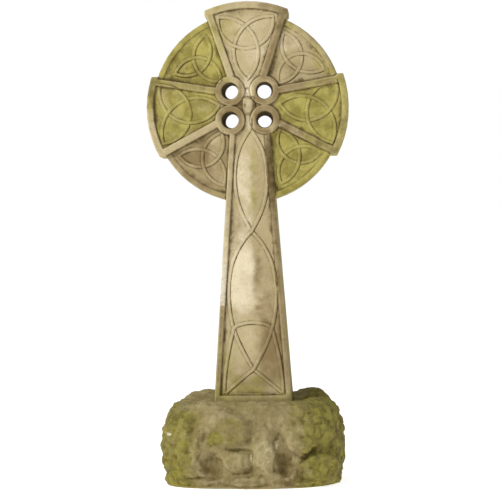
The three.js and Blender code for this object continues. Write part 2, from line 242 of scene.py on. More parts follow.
def even_skin(piece, voxel):
    """Gives the active piece an even skin of small faces, fit for carving."""
    skin = piece.modifiers.new("skin", "REMESH")
    skin.mode = "VOXEL"
    skin.voxel_size = voxel
    skin.use_smooth_shade = True
    bpy.ops.object.modifier_apply(modifier=skin.name)


def remeshed_copy(source, name, voxel):
    """A welded copy of a CAD solid with an even skin."""
    bpy.ops.object.select_all(action="DESELECT")
    made = source.copy()
    made.data = source.data.copy()
    made.name = name
    made.data.name = name
    for key in list(made.keys()):
        del made[key]
    made.parent = None
    bpy.context.collection.objects.link(made)
    made.select_set(True)
    bpy.context.view_layer.objects.active = made
    made.data.materials.clear()
    bpy.ops.object.mode_set(mode="EDIT")
    bpy.ops.mesh.select_all(action="SELECT")
    bpy.ops.mesh.remove_doubles(threshold=WELD_DISTANCE)
    bpy.ops.object.mode_set(mode="OBJECT")
    even_skin(made, voxel)
    return made


def places(mesh):
    """Where each point lies, in millimetres."""
    found = np.empty(len(mesh.vertices) * 3)
    mesh.vertices.foreach_get("co", found)
    return found.reshape(-1, 3) * 1000


def directions(mesh):
    """Which way the surface faces at each point."""
    found = np.empty(len(mesh.vertices) * 3)
    mesh.vertices.foreach_get("normal", found)
    return found.reshape(-1, 3)


def put_places(mesh, millimetres):
    mesh.vertices.foreach_set("co", (millimetres / 1000).ravel())
    mesh.update()


def store(mesh, name, values):
    """Keeps a value from 0 to 1 for each point, which the material reads by its name."""
    made = mesh.attributes.new(name, "FLOAT", "POINT")
    made.data.foreach_set("value", np.clip(values, 0, 1).astype(np.float32))


def smooth(value, low, high):
    """0 below the low end, 1 above the high end, and a soft step between them."""
    share = np.clip((value - low) / (high - low), 0, 1)
    return share * share * (3 - 2 * share)


def form_heights(x, z):
    """How far the forms of the front stand out at each point."""
    total = np.zeros(x.shape)
    for middle, up, wide, high, turn, out, edge in ROCK_FORMS:
        c, s = math.cos(math.radians(turn)), math.sin(math.radians(turn))
        dx, dz = x - middle, z - up
        reach = np.hypot((dx * c + dz * s) / wide, (dz * c - dx * s) / high)
        total += out * (1 - smooth(reach, 1 - edge, 1))
    return total


def noise_at(spots, size, offset=0.0):
    """Noise in two layers between about -1 and 1; its broadest lumps are a size in millimetres apart."""
    shift = Vector((offset, offset * 0.7, offset * 1.3))
    return np.array([
        noise.fractal(Vector(p) / size + shift, 1.0, 2.0, 2, noise_basis="PERLIN_ORIGINAL") for p in spots
    ])


def pits_at(spots, size, offset):
    """The distance to the nearest of many scattered points, as a share of their spacing."""
    shift = Vector((offset, -offset, offset * 0.4))
    return np.array([noise.voronoi(Vector(p) / size + shift)[0][0] for p in spots])


def free_of_seat(spots):
    """Nothing moves at the seat, under the foot or on the flat underside."""
    beside_seat = np.abs(spots[:, 0] - SEAT_MIDDLE) - SEAT_HALF_WIDTH
    beyond = np.maximum(beside_seat, np.abs(spots[:, 1]) - SEAT_HALF_DEPTH)
    on_top = np.where(spots[:, 2] > SEAT_FROM, smooth(beyond, 1, SEAT_MARGIN), 1)
    return on_top * smooth(spots[:, 2], 0.5, UNDERSIDE_MARGIN)


rock = remeshed_copy(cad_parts["rock_plinth"], "rock_plinth_look", ROCK_VOXEL)
rock_low, rock_high = (np.array(corner) * 1000 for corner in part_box("rock_plinth"))


def keep_in_box(spots):
    """Eases what stands too far out back inside the boulder's box, but lets the rim of its top rise."""
    for axis, side, limit, room in (
        (0, -1, rock_low[0], END_ROOM),
        (0, 1, rock_high[0], END_ROOM),
        (1, -1, rock_low[1], FACE_ROOM),
        (1, 1, rock_high[1], FACE_ROOM),
        (2, 1, rock_high[2] + RIM_ROOM, TOP_ROOM),
    ):
        over = side * (spots[:, axis] - limit) + room
        eased = room * np.tanh(np.maximum(over, 0) / room)
        spots[:, axis] -= side * np.maximum(over - eased, 0) * (over > 0)
    return spots


# The large forms first. The front keeps its own blocks, the top stays nearly flat, and x, y and z follow the
# points as they move, so that the rim rises from the moved stone
spots = places(rock.data)
outwards = directions(rock.data)
x, y, z = spots.T
front_share = smooth(-outwards[:, 1], 0.15, 0.6) * (y < 0)
shelf = smooth(outwards[:, 2], 0.55, 0.85)
shift = form_heights(x, z) * front_share
shift += SWELL_RISE * noise_at(spots, SWELL_SIZE) * (1 - 0.5 * front_share) * (1 - 0.5 * shelf)
knobs = 2 * np.abs(noise_at(spots, KNOB_SIZE, 4.1))
middle = front_share * (1 - smooth(np.abs(x), CALM_REACH, KNOBS_FULL))
shift += KNOB_RISE * (knobs - 0.5) * (1 - 0.5 * middle) * (1 - 0.6 * shelf)
shift -= SIDES_DRAWN_IN * (1 - shelf) + FRONT_DRAWN_IN * front_share
spots += outwards * (shift * free_of_seat(spots))[:, None]
rim = np.zeros(len(spots))
for across, back, up, reach, rise in RIM_FORMS:
    apart = np.sqrt((x - across) ** 2 + (y - back) ** 2 + ((z - up) * 1.4) ** 2)
    rim += rise * (1 - smooth(apart / reach, 0.15, 1))
spots[:, 2] += rim * free_of_seat(spots)
put_places(rock.data, keep_in_box(spots))

# Then the fine relief on a finer skin, half as strong in the middle of the front, which is worn
even_skin(rock, ROCK_FINE_VOXEL)
spots = places(rock.data)
outwards = directions(rock.data)
fine = LUMP_RISE * (np.abs(noise_at(spots, LUMP_SIZE, 9.3)) * 2 - 0.45)
fine += GRAIN_RISE * noise_at(spots, GRAIN_SIZE, 3.3)
pits = pits_at(spots, ROCK_PIT_SPACING, 2.2)
fine -= ROCK_PIT_DEPTH * (1 - smooth(pits, 0.05, 0.22))
aside = np.abs(spots[:, 0] - RELIEF_MIDDLE)
middle = smooth(-outwards[:, 1], 0.2, 0.6) * (1 - smooth(aside, CALM_REACH, RELIEF_FULL))
fine *= 1 - 0.5 * middle
spots += outwards * (fine * free_of_seat(spots))[:, None]
put_places(rock.data, keep_in_box(spots))


def hollowness(mesh, rounds):
    """How far each point lies below its neighbourhood, in millimetres, at the scale of that many rings."""
    spots = places(mesh)
    ends = np.empty(len(mesh.edges) * 2, np.int64)
    mesh.edges.foreach_get("vertices", ends)
    a, b = ends.reshape(-1, 2).T
    count = np.bincount(a, minlength=len(spots)) + np.bincount(b, minlength=len(spots))
    soft = spots.copy()
    for _ in range(rounds):
        total = np.empty_like(soft)
        for axis in range(3):
            along = np.bincount(a, soft[b, axis], len(spots))
            total[:, axis] = along + np.bincount(b, soft[a, axis], len(spots))
        soft = 0.5 * soft + 0.5 * total / count[:, None]
    return np.einsum("ij,ij->i", soft - spots, directions(mesh))


def spotted(x, z, rows):
    """Soft spots on the front, added up: how much, where each lies, and its reach to the sides and up."""
    total = np.zeros(x.shape)
    for amount, across, up, wide, high in rows:
        total += amount * (1 - smooth(np.hypot((x - across) / wide, (z - up) / high), 0.35, 1))
    return total


# Where the boulder is worn pale, mossy, earthy and chipped white. Some earth spots lie in hollows and are
# painted shade as much as earth, and one chip streak is a painted highlight on the lump's lit left edge. The
# first moss spots are on the front alone, and the next two go through to the back
ROCK_WORN = [
    (0.4, 38, 84, 34, 62),
    (0.3, -25, 68, 40, 30),
    (0.35, -150, 206, 54, 34),
    (0.3, -62, 182, 70, 26),
]
ROCK_MOSS = [
    (0.75, -88, 122, 28, 26),
    (0.4, -50, 140, 70, 54),
    (0.3, -180, 14, 50, 16),
    (0.25, -48, 78, 24, 26),
    (-0.35, 40, 85, 42, 62),
    (-0.25, 108, 92, 32, 34),
    (-0.3, -122, 60, 32, 50),
]
ROCK_MOSS_THROUGH = [(0.3, -190, 56, 44, 44), (-0.5, -150, 208, 50, 30)]
# Earth spots; those in the hollow at the left, right of the lump and behind the foot are painted shade as
# well
ROCK_EARTH_AND_SHADE = [
    (0.5, -92, 55, 36, 54),
    (0.55, 90, 62, 34, 52),
    (0.35, -190, 48, 44, 46),
    (0.6, 104, 30, 34, 34),
    (0.9, 132, 222, 24, 16),
]
ROCK_CHIPS_AND_HIGHLIGHT = [
    (0.72, -201, 134, 15, 8),
    (0.5, -156, 139, 9, 11),
    (0.6, 66, 107, 7, 17),
    (0.36, 146, 166, 30, 15),
    # This streak on the lump's left edge is a painted highlight, where the light falls
    (0.5, 3, 76, 5, 28),
    (0.4, 40, 90, 36, 56),
]

# Moss sets in towards both ends: from where to where on the left and on the right of the middle, and how
# far that wanders at the back, all in millimetres
LEFT_MOSS = (95, 170)
RIGHT_MOSS = (85, 160)
MOSS_WANDER = 45

# How many rings of neighbours a hollow is measured against
BROAD_RINGS = 60
CLOSE_RINGS = 8

broad = hollowness(rock.data, BROAD_RINGS)
close = hollowness(rock.data, CLOSE_RINGS)
spots = places(rock.data)
x, y, z = spots.T
front = y < 0
# Hollows are darkened, partly as dirt and partly as painted shade
store(rock.data, "crevice_dirt_and_shade", 0.15 * broad + 0.55 * close)
store(rock.data, "worn", spotted(x, z, ROCK_WORN) * front - 0.14 * broad - 0.7 * close)
wander = MOSS_WANDER * noise_at(spots, SWELL_SIZE, 5.5) * ~front
moss = 0.16 + 0.66 * smooth(wander - x, *LEFT_MOSS) + 0.8 * smooth(x + wander, *RIGHT_MOSS)
moss += 0.12 * smooth(z, 185, 205) + front * spotted(x, z, ROCK_MOSS) + spotted(x, z, ROCK_MOSS_THROUGH)
store(rock.data, "moss", moss)
# Earth in spots and low down; the spots in hollows are painted shade as well
earth_and_shade = spotted(x, z, ROCK_EARTH_AND_SHADE) + 0.3 * smooth(-z, -36, -14) + 0.36 * smooth(-z, -110, -30)
store(rock.data, "earth_and_shade", earth_and_shade * front + 0.5 * (1 - front) * smooth(-z, -60, -10))
# Chips, and one painted highlight streak on a lit edge
store(rock.data, "chips", spotted(x, z, ROCK_CHIPS_AND_HIGHLIGHT) * smooth(-directions(rock.data)[:, 1], 0.2, 0.5))


def patterns_on(tree, rows):
    """Noise patterns in the stone, each from its size in millimetres, its detail, shift and roughness."""
    position = node(tree, "ShaderNodeTexCoord").outputs["Object"]
    add = {"operation": "ADD"}
    made = {}
    for name, (size, detail, shift, roughness) in rows.items():
        moved = node(tree, "ShaderNodeVectorMath", add, in_0=position, in_1=(shift, shift, shift))
        cloud = node(
            tree, "ShaderNodeTexNoise",
            Vector=moved.outputs[0], Scale=1000 / size, Detail=detail, Roughness=roughness,
        )
        made[name] = cloud.outputs["Fac"]
    return made


def coat(tree, below, colour, low, high, most=1.0, follows=None, pattern=None, steep=False):
    """Lays a film of colour over what is below it, setting in from a low level to a high one.

    It follows a value stored on the mesh, or a pattern. With both, the pattern breaks up its thin parts.
    """
    amount = pattern
    if follows:
        amount = node(tree, "ShaderNodeAttribute", {"attribute_name": follows}).outputs["Fac"]
    if follows and pattern:
        centred = {"operation": "MULTIPLY_ADD"}
        lift = node(tree, "ShaderNodeMath", centred, in_0=pattern, in_1=1.5, in_2=-0.75)
        both = node(tree, "ShaderNodeMath", {"operation": "ADD"}, in_0=amount, in_1=lift.outputs[0])
        amount = both.outputs[0]
    soft = {"interpolation_type": "SMOOTHSTEP"}
    if steep:
        amount = node(tree, "ShaderNodeMapRange", soft, in_0=amount, in_1=low, in_2=high).outputs[0]
        low, high = 0, 1
    share = node(tree, "ShaderNodeMapRange", soft, in_0=amount, in_1=low, in_2=high, in_4=most)
    colours = {"data_type": "RGBA"}
    mixed = node(tree, "ShaderNodeMix", colours, in_0=share.outputs[0], in_6=below, in_7=colour)
    return mixed.outputs[2]


# Cast stone left rough, with moss: to the eye it is matt and dull, a yellowish grey with dark freckles and
# pale grit, rubbed paler on its crests, with brown earth low down, olive moss in patches and white chips.
# Its hollows are darkened with dirt and painted shade, some earth patches in hollows are painted shade too,
# and one pale streak among the chips is a painted highlight on a lit edge.
# The real grit is finer than the render shows, so it is drawn at 2.8 mm
rough, tree = new_material("mossy_rough_cast_stone")
pattern = patterns_on(tree, {
    "tones": (60, 4, 0.0, 0.6),
    "freckles": (12, 3, 3.7, 0.6),
    "earth edge": (22, 4, 6.6, 0.6),
    "pocks": (6, 3, 8.8, 0.7),
    "grit": (2.8, 4, 2.0, 0.7),
    "moss tones": (26, 5, 1.9, 0.7),
    "moss edge": (42, 5, 5.3, 0.7),
    "chip edge": (6, 4, 9.9, 0.75),
    "swells": (9, 3, 4.7, 0.6),
})
ground = coat(tree, linear("#86784F"), linear("#9C8E64"), 0.35, 0.65, pattern=pattern["tones"])
ground = coat(tree, ground, linear("#84754E"), 0.45, 0.75, 0.6, pattern=pattern["freckles"])
# Earth, and earth-coloured painted shade in some hollows
ground = coat(tree, ground, linear("#6B5B36"), 0.1, 1.2, follows="earth_and_shade", pattern=pattern["earth edge"])
ground = coat(tree, ground, linear("#B7AB83"), 0.1, 1.2, 0.42, follows="worn")
ground = coat(tree, ground, linear("#6A5C36"), 0.5, 0.75, 0.42, pattern=pattern["pocks"])
ground = coat(tree, ground, linear("#C3B894"), 0.55, 0.75, 0.5, pattern=pattern["grit"])
moss = coat(tree, linear("#625B20"), linear("#8B8430"), 0.38, 0.62, pattern=pattern["moss tones"])
ground = coat(tree, ground, moss, -0.1, 1.2, 0.8, follows="moss", pattern=pattern["moss edge"], steep=True)
# Dark coat in the hollows: dirt and painted shade
ground = coat(tree, ground, linear("#57491F"), 0.1, 1.2, 0.7, follows="crevice_dirt_and_shade")
# Pale chips, one streak of them a painted highlight on a lit edge
ground = coat(tree, ground, linear("#CBC5A6"), 0.4, 0.85, follows="chips", pattern=pattern["chip edge"])
height = node(
    tree, "ShaderNodeMath", {"operation": "MULTIPLY_ADD"},
    in_0=pattern["swells"], in_1=1.5, in_2=pattern["grit"],
)
rise = node(tree, "ShaderNodeBump", Strength=0.45, Distance=0.0016, Height=height.outputs[0])
surface = node(
    tree, "ShaderNodeBsdfPrincipled",
    Base_Color=ground, Roughness=0.95, Specular_IOR_Level=0.25, Normal=rise.outputs[0],
)
node(tree, "ShaderNodeOutputMaterial", Surface=surface.outputs[0])
rock.data.materials.append(rough)

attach(rock, "root")
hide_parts("rock_plinth")

# The cross: one casting of the same stone, with its wheel, arms, collars, shaft and knotwork in one. The
# carving has worn soft, dirt and painted shade lie beside every cord and step, and moss films parts of the
# head.
CROSS_VOXEL = 0.0019
TRIANGLE_BUDGET = 190000

# Its sizes in millimetres, as in the solid, and how much thicker its foot is than its head
WHEEL_Z = 937.0
WHEEL_RADIUS = 237
WHEEL_FACE = 33
RIM_WIDTH = 14
RIM_RISE = 3
FOOT_Z = 191.3
SHAFT_LENGTH = 745.7
SHAFT_SHIFT = 5
SHAFT_FOOT_HALF = 97.5
SHAFT_NECK_HALF = 45
SHAFT_BORDER = 13
SHAFT_FOOT_BORDER = 29
FOOT_DEPTH_SHARE = 1.28
TOP_ARM_REACH = 263
SIDE_ARM_REACH = 251.5
ARM_FACE = 45
ARM_BORDER = 17
ARM_HALF_NECK = 49
ARM_NECK_REACH = 74
ARM_LIP = 20
ARM_LIP_STEP = 6
PANEL_DEPTH = 6
HOLE_RADIUS = 21.5
HOLE_SIDE = 43.5
HOLE_UP = 36.3
HOLE_RISE = 4
HOLE_LEAN = 5
COLLAR_RADIUS = 36.5
CORD_HALF = 4.5
CORD_RISE = 2.3

# How finely its arcs and cords are drawn
ARM_END_STEPS = 16
KNOT_STEPS = 20
PLAIT_STEPS = 28
CORNER_STEPS = 8
ARCH_STEPS = 24
ARCH_LEG_POINTS = 12

# What wear and the hand-made mould have left: swollen collars and fields, rounded edges, and cut lines
COLLAR_SWELL = 1.3
COLLAR_LIP_FALL = 1.5
LENS_SWELL = 2.4
EDGE_FALL = 3
EDGE_ROUND = 3.5
STEP_ROUND = 1.2
CUT_DEPTH = 1.3
BOSS_RISE = 5
BOSS_PIT_DEPTH = 4.5


def arc_points(radius, start, end, steps):
    turns = np.linspace(start, end, steps + 1)
    return np.stack([radius * np.cos(turns), radius * np.sin(turns)], axis=1)


def arm_outline(reach, left_end, right_end, turn, inset=0.0):
    """An arm drawn along its own length from the wheel's middle, then turned to its place."""
    radius = reach - inset
    sides = []
    for half in (right_end, left_end):
        lip = math.sqrt(reach ** 2 - half ** 2) - ARM_LIP
        slope = (half - ARM_LIP_STEP - ARM_HALF_NECK) / (lip - ARM_NECK_REACH)
        start = ARM_HALF_NECK - inset * math.hypot(1, slope)
        side = [(0, start), (ARM_NECK_REACH, start)]
        if inset:
            rise = start - slope * ARM_NECK_REACH
            along = math.sqrt(radius ** 2 * (1 + slope ** 2) - rise ** 2) - slope * rise
            along /= 1 + slope ** 2
            side.append((along, rise + slope * along))
        else:
            side += [(lip, half - ARM_LIP_STEP), (lip + ARM_LIP_STEP, half), (lip + ARM_LIP, half)]
        sides.append(side)
    right = [(x, -z) for x, z in sides[0]]
    left = sides[1][::-1]
    end = arc_points(radius, math.atan2(*right[-1][::-1]), math.atan2(*left[0][::-1]), ARM_END_STEPS)
    outline = np.array(right + [tuple(p) for p in end[1:-1]] + left)
    spin = np.array([[math.cos(turn), math.sin(turn)], [-math.sin(turn), math.cos(turn)]])
    return outline @ spin + (0, WHEEL_Z)


# Each arm: its reach, half its width at its end to both sides, and its turn
ARMS = [
    (TOP_ARM_REACH, 104, 104, math.pi / 2),
    (SIDE_ARM_REACH, 79, 121, 0),
    (SIDE_ARM_REACH, 121, 79, math.pi),
]


def shaft_half(z):
    return SHAFT_FOOT_HALF + (SHAFT_NECK_HALF - SHAFT_FOOT_HALF) * (z - FOOT_Z) / SHAFT_LENGTH


def shaft_outline(inset, bottom):
    low = shaft_half(bottom) - inset
    high = shaft_half(WHEEL_Z) - inset
    return np.array([
        (SHAFT_SHIFT - low, bottom),
        (SHAFT_SHIFT + low, bottom),
        (SHAFT_SHIFT + high, WHEEL_Z),
        (SHAFT_SHIFT - high, WHEEL_Z),
    ])


def depth_inside(x, z, outline):
    """How far each point lies inside an outline; outside it the value is negative."""
    nearest = np.full(x.shape, 1e12)
    inside = np.zeros(x.shape, bool)
    for (ax, az), (bx, bz) in zip(outline, np.roll(outline, -1, axis=0)):
        ex, ez = bx - ax, bz - az
        along = np.clip(((x - ax) * ex + (z - az) * ez) / (ex * ex + ez * ez + 1e-9), 0, 1)
        nearest = np.minimum(nearest, (x - ax - along * ex) ** 2 + (z - az - along * ez) ** 2)
        if az != bz:
            inside ^= ((az > z) != (bz > z)) & (x < ex * (z - az) / ez + ax)
    return np.where(inside, 1, -1) * np.sqrt(nearest)


# The dark line beside each cord is painted deepest on its lower right, as painted shadow from the light at
# the upper left: which way that is, across and up
LOWER_RIGHT = (0.84, -0.54)


def beside(x, z, curve):
    """For each point: its distance from a curve, where it lies beside it, and if it is past an end."""
    nearest = np.full(x.shape, 1e12)
    lower_right = np.zeros(x.shape)
    past = np.zeros(x.shape, bool)
    last = len(curve) - 2
    for i, ((ax, az), (bx, bz)) in enumerate(zip(curve[:-1], curve[1:])):
        ex, ez = bx - ax, bz - az
        share = ((x - ax) * ex + (z - az) * ez) / (ex * ex + ez * ez)
        along = np.clip(share, 0, 1)
        dx, dz = x - ax - along * ex, z - az - along * ez
        square = dx * dx + dz * dz
        closer = square < nearest
        nearest[closer] = square[closer]
        lower_right[closer] = (LOWER_RIGHT[0] * dx + LOWER_RIGHT[1] * dz)[closer]
        off_end = ((share < 0) & (i == 0)) | ((share > 1) & (i == last))
        past[closer] = off_end[closer]
    distance = np.sqrt(nearest)
    return distance, lower_right / (distance + 1e-6), past


def bulging_arc(start, end, third, bulge):
    """A round arc between two tips of a knot, bulging towards the third."""
    start, end, third = (np.array(p) for p in (start, end, third))
    middle = (start + end) / 2
    chord = end - start
    half = math.hypot(*chord) / 2
    across = np.array([-chord[1], chord[0]]) / (2 * half)
    height = bulge * float((third - middle) @ across)
    radius = (half * half + height * height) / (2 * abs(height))
    centre = middle + across * (height - math.copysign(radius, height))
    begin = math.atan2(start[1] - centre[1], start[0] - centre[0])
    span = 4 * math.atan2(height, half)
    return arc_points(radius, begin, begin - span, KNOT_STEPS) + centre


# Each knot: the reach of what carries it, how far its arcs bulge, then its three tips as a turn and a share
# of that reach
KNOTS = [
    (TOP_ARM_REACH, 0.5, (107.5, 0.89), (73.5, 0.89), (91, 0.26)),
    (SIDE_ARM_REACH, 0.5, (165.5, 0.9), (202.5, 0.91), (176, 0.28)),
    (SIDE_ARM_REACH, 0.5, (-24, 0.91), (16, 0.91), (5, 0.325)),
    (WHEEL_RADIUS, 0.475, (120, 0.88), (154, 0.84), (136, 0.39)),
    (WHEEL_RADIUS, 0.475, (63.5, 0.875), (25.5, 0.895), (37, 0.41)),
    (WHEEL_RADIUS, 0.475, (-145.5, 0.88), (-107.5, 0.86), (-137, 0.38)),
    (WHEEL_RADIUS, 0.475, (-32.5, 0.9), (-67, 0.875), (-35, 0.41)),
]


def shaft_height(share):
    return FOOT_Z + SHAFT_LENGTH * share


# The plait of the shaft: its three crossings, its bottom corners, and the arch that closes it. The last
# heights part one crossing from the next
CROSSINGS = [shaft_height(share) for share in (0.926, 0.585, 0.125)]
CORNER_Z = shaft_height(0.05)
CORNER_INSET = 14.4
CORNER_HALF = shaft_half(CORNER_Z) - SHAFT_BORDER - CORNER_INSET
PLAIT_SHIFT = 1.5
PLAIT_MIDDLE = SHAFT_SHIFT + PLAIT_SHIFT
PLAIT_END = 27
PLAIT_FILL = 0.9
ARCH_SPRING = shaft_height(0.256)
ARCH_FILL = 0.69
ARCH_RISE = 19
ARCH_FOOT_OUT = 5.5
FIRST_CROSSING_FROM = 760
SECOND_CROSSING_FROM = 450
ARCH_CROSSINGS_FROM = 330
ANYWHERE = 1e4


def plait_cord(side):
    """One cord of the shaft's plait, from the top crossing to a bottom corner."""
    points = [(PLAIT_MIDDLE + side * 2, CROSSINGS[0] + PLAIT_END)]
    sign = side
    for upper, lower, lean in ((0, 1, 0.934), (1, 2, 0.87)):
        width = PLAIT_FILL * (shaft_half((CROSSINGS[upper] + CROSSINGS[lower]) / 2) - SHAFT_BORDER)
        for share in np.arange(PLAIT_STEPS) / PLAIT_STEPS:
            turn = math.pi * share ** lean
            z = CROSSINGS[upper] + (CROSSINGS[lower] - CROSSINGS[upper]) * share
            bulge = width * math.sin(turn) * (1 + 0.2 * math.cos(turn) ** 2)
            points.append((PLAIT_MIDDLE + sign * bulge, z))
        sign = -sign
    for share in np.arange(CORNER_STEPS + 1) / CORNER_STEPS:
        across = CORNER_HALF * share ** 0.95
        points.append((PLAIT_MIDDLE + sign * across, CROSSINGS[2] + (CORNER_Z - CROSSINGS[2]) * share))
    return np.array(points)


def arch_cord():
    """The third cord: it rises from the bottom corners and closes in a flat arch."""
    half = ARCH_FILL * (shaft_half(ARCH_SPRING) - SHAFT_BORDER)
    foot_half = CORNER_HALF + ARCH_FOOT_OUT
    crown = arc_points(1, math.pi, 0, ARCH_STEPS) * (half, ARCH_RISE) + (PLAIT_MIDDLE, ARCH_SPRING)
    legs = []
    for side in (-1, 1):
        shares = np.linspace(1, 0.05, ARCH_LEG_POINTS)
        across = half + (foot_half - half) * np.sin(shares * math.pi / 2)
        up = ARCH_SPRING + (CORNER_Z - ARCH_SPRING) * shares
        legs.append(np.stack([PLAIT_MIDDLE + side * across, up], axis=1))
    return np.concatenate([legs[0], crown, legs[1][::-1]])


# The cords, and which passes over which between two heights
cords = []
over_pairs = []
for reach, bulge, *tips in KNOTS:
    corners = []
    for turn, share in tips:
        angle = math.radians(turn)
        corners.append((reach * share * math.cos(angle), WHEEL_Z + reach * share * math.sin(angle)))
    first = len(cords)
    for i in range(3):
        cords.append(bulging_arc(corners[i], corners[(i + 1) % 3], corners[(i + 2) % 3], bulge))
        over_pairs.append((first + i, first + (i + 1) % 3, -ANYWHERE, ANYWHERE))
left_cord, right_cord, arch = len(cords), len(cords) + 1, len(cords) + 2
cords += [plait_cord(-1), plait_cord(1), arch_cord()]
over_pairs += [
    (left_cord, right_cord, FIRST_CROSSING_FROM, ANYWHERE),
    (right_cord, left_cord, SECOND_CROSSING_FROM, FIRST_CROSSING_FROM),
    (left_cord, right_cord, -ANYWHERE, SECOND_CROSSING_FROM),
    (arch, right_cord, ARCH_CROSSINGS_FROM, SECOND_CROSSING_FROM),
    (left_cord, arch, ARCH_CROSSINGS_FROM, SECOND_CROSSING_FROM),
]
TIPS = np.array([cord[i] for cord in cords for i in (0, -1)])
plait_rows = np.array(cords[left_cord])[::-1]


def lens_rise(x, z):
    """The fields inside the plait swell to a soft ridge along the middle: 1 there, 0 at the cords."""
    half = np.interp(z, plait_rows[:, 1], np.abs(plait_rows[:, 0] - PLAIT_MIDDLE), 0, 0)
    inside = 1 - np.abs(x - PLAIT_MIDDLE) / np.maximum(half, 1)
    return np.sqrt(np.maximum(inside, 0) ** 2 + 0.004) * (inside > 0) * smooth(half, 8, 26)


# The small boss between the holes, with its worn hollows: how deep, where from the wheel's middle, and how
# wide and high
BOSS = np.array([(-12, 23), (-11, -5), (-5, -17), (9, -17), (14, -7), (17, 23)]) + (0, WHEEL_Z)
BOSS_PITS = [(1, 21, 5, 4, 10), (1, -31, 3, 9, 3), (0.5, -5, 3, 5, 8)]
HOLES = [(side * HOLE_SIDE, WHEEL_Z + HOLE_RISE + up * HOLE_UP) for side in (-1, 1) for up in (-1, 1)]


def line_at(value, middle, width):
    """1 on a line where the value is the middle one, fading to both sides of it."""
    return np.exp(-((value - middle) / width) ** 2)


def carving(x, z):
    """The carved front: its height in front of the middle, where dirt, painted shade and wear go, and what
    lies where.
    """
    radius = np.hypot(x, z - WHEEL_Z)
    arms = [depth_inside(x, z, arm_outline(*arm)) for arm in ARMS]
    shaft = depth_inside(x, z, shaft_outline(0, FOOT_Z))
    from_hole = np.min([np.hypot(x - hx, z - hz) for hx, hz in HOLES], axis=0)
    collars = COLLAR_RADIUS - from_hole
    raised = np.max([*arms, shaft, collars, HOLE_SIDE / 2 - radius], axis=0)
    panels = [depth_inside(x, z, arm_outline(*arm, inset=ARM_BORDER)) for arm in ARMS]
    panels.append(depth_inside(x, z, shaft_outline(SHAFT_BORDER, FOOT_Z + SHAFT_FOOT_BORDER)))
    panel = np.minimum(np.max([*panels, HOLE_SIDE / 2 - radius], axis=0), -collars)

    rim = WHEEL_RADIUS - RIM_WIDTH
    wheel = WHEEL_FACE + RIM_RISE * smooth(radius, rim - 2, rim + 2)
    wheel -= EDGE_FALL * smooth(radius, WHEEL_RADIUS - EDGE_ROUND, WHEEL_RADIUS)
    low = np.where(radius < WHEEL_RADIUS, wheel, ARM_FACE - EDGE_FALL)
    high = ARM_FACE - EDGE_FALL + EDGE_FALL * smooth(raised, 0, EDGE_ROUND)
    level = low + (high - low) * smooth(raised, -STEP_ROUND, STEP_ROUND)
    level -= PANEL_DEPTH * smooth(panel, -1.6, 2.0)
    ring = (from_hole - (HOLE_RADIUS + COLLAR_RADIUS) / 2) / (COLLAR_RADIUS - HOLE_RADIUS) * 2
    level += COLLAR_SWELL * (1 - np.minimum(ring ** 2, 1)) - COLLAR_LIP_FALL * (1 - smooth(ring, -1, -0.75))
    level += LENS_SWELL * lens_rise(x, z)
    boss = depth_inside(x, z, BOSS)
    level += BOSS_RISE * smooth(boss, -0.5, 4)
    pits = np.max([spotted(x, z - WHEEL_Z, [pit]) for pit in BOSS_PITS], axis=0)
    level -= BOSS_PIT_DEPTH * pits

    measured = [beside(x, z, cord) for cord in cords]
    to_tip = np.min([np.hypot(x - tx, z - tz) for tx, tz in TIPS], axis=0)
    at_tip = 1 - smooth(to_tip, 9, 17)
    ridge = np.zeros(x.shape)
    groove = np.zeros(x.shape)
    for j, (distance, lower_right, past) in enumerate(measured):
        height = CORD_RISE * (1 - smooth(distance, CORD_HALF - 2.2, CORD_HALF + 0.6))
        # The cut line is dirt and painted shade, painted darker on the lower right where shadow falls
        line = line_at(distance - CORD_HALF, 0.3, 1.25) * (0.76 + 0.24 * lower_right) * ~past
        for over, under, bottom, top in over_pairs:
            if under == j:
                near = (z > bottom) & (z < top)
                kept = np.where(near, smooth(measured[over][0], CORD_HALF - 2, CORD_HALF + 1), 1)
                kept = np.maximum(kept, at_tip)
                height = height * kept
                line = line * kept
        ridge = np.maximum(ridge, height)
        groove = np.maximum(groove, line)
    level += ridge - CUT_DEPTH * groove

    # Dark lines along the panels' inner edges and at the foot of raised parts on the wheel: dirt and painted
    # shade
    step_dirt_and_shade = line_at(panel, 1.8, 1.9) + line_at(raised, -1.6, 2.2) * (radius < WHEEL_RADIUS)
    # Thin dark lines at the foot of the rim, round the collars and round the boss: dirt and painted shade
    rim_line = line_at(radius, rim - 1.5, 1.8) * (raised < 0)
    collar_line = line_at(collars, -1.2, 1.5) * (raised > 0) * smooth(panel, -7, -1)
    thin_lines = 0.8 * np.max([rim_line, collar_line, line_at(boss, -1, 1.6)], axis=0)
    crevice_dirt_and_shade = np.max([groove, 0.95 * step_dirt_and_shade, thin_lines, pits], axis=0)
    panel_edge = 0.8 * line_at(panel, -2, 1.8) * (raised > 0)
    worn = np.max([line_at(raised, 2, 2.2), panel_edge, 0.35 * smooth(ridge, 0.5, 2.2)], axis=0)
    return level, crevice_dirt_and_shade, worn, raised, panel, radius, from_hole


def from_hole_axis(x, y, z, hole):
    """How far to the side of a hole's axis each point lies, and how far above it. The axes lean together."""
    hx, hz = hole
    lean = math.copysign(HOLE_LEAN, hx) * np.clip((y + ARM_FACE) / (2 * ARM_FACE), 0, 1)
    return x - hx + lean, z - hz


# Each hole was cored from both faces, and the cores met in a ragged neck inside: how far the neck stands in,
# and how much lower it hangs at its top
HOLE_NECKS = [(4.0, 0), (4.2, 0), (4.3, 4.5), (3.8, 0)]

# How far in front of the middle the carving starts, and how squarely a face has to look to the front
CARVED_FROM = 20
FACING_FRONT = 0.4

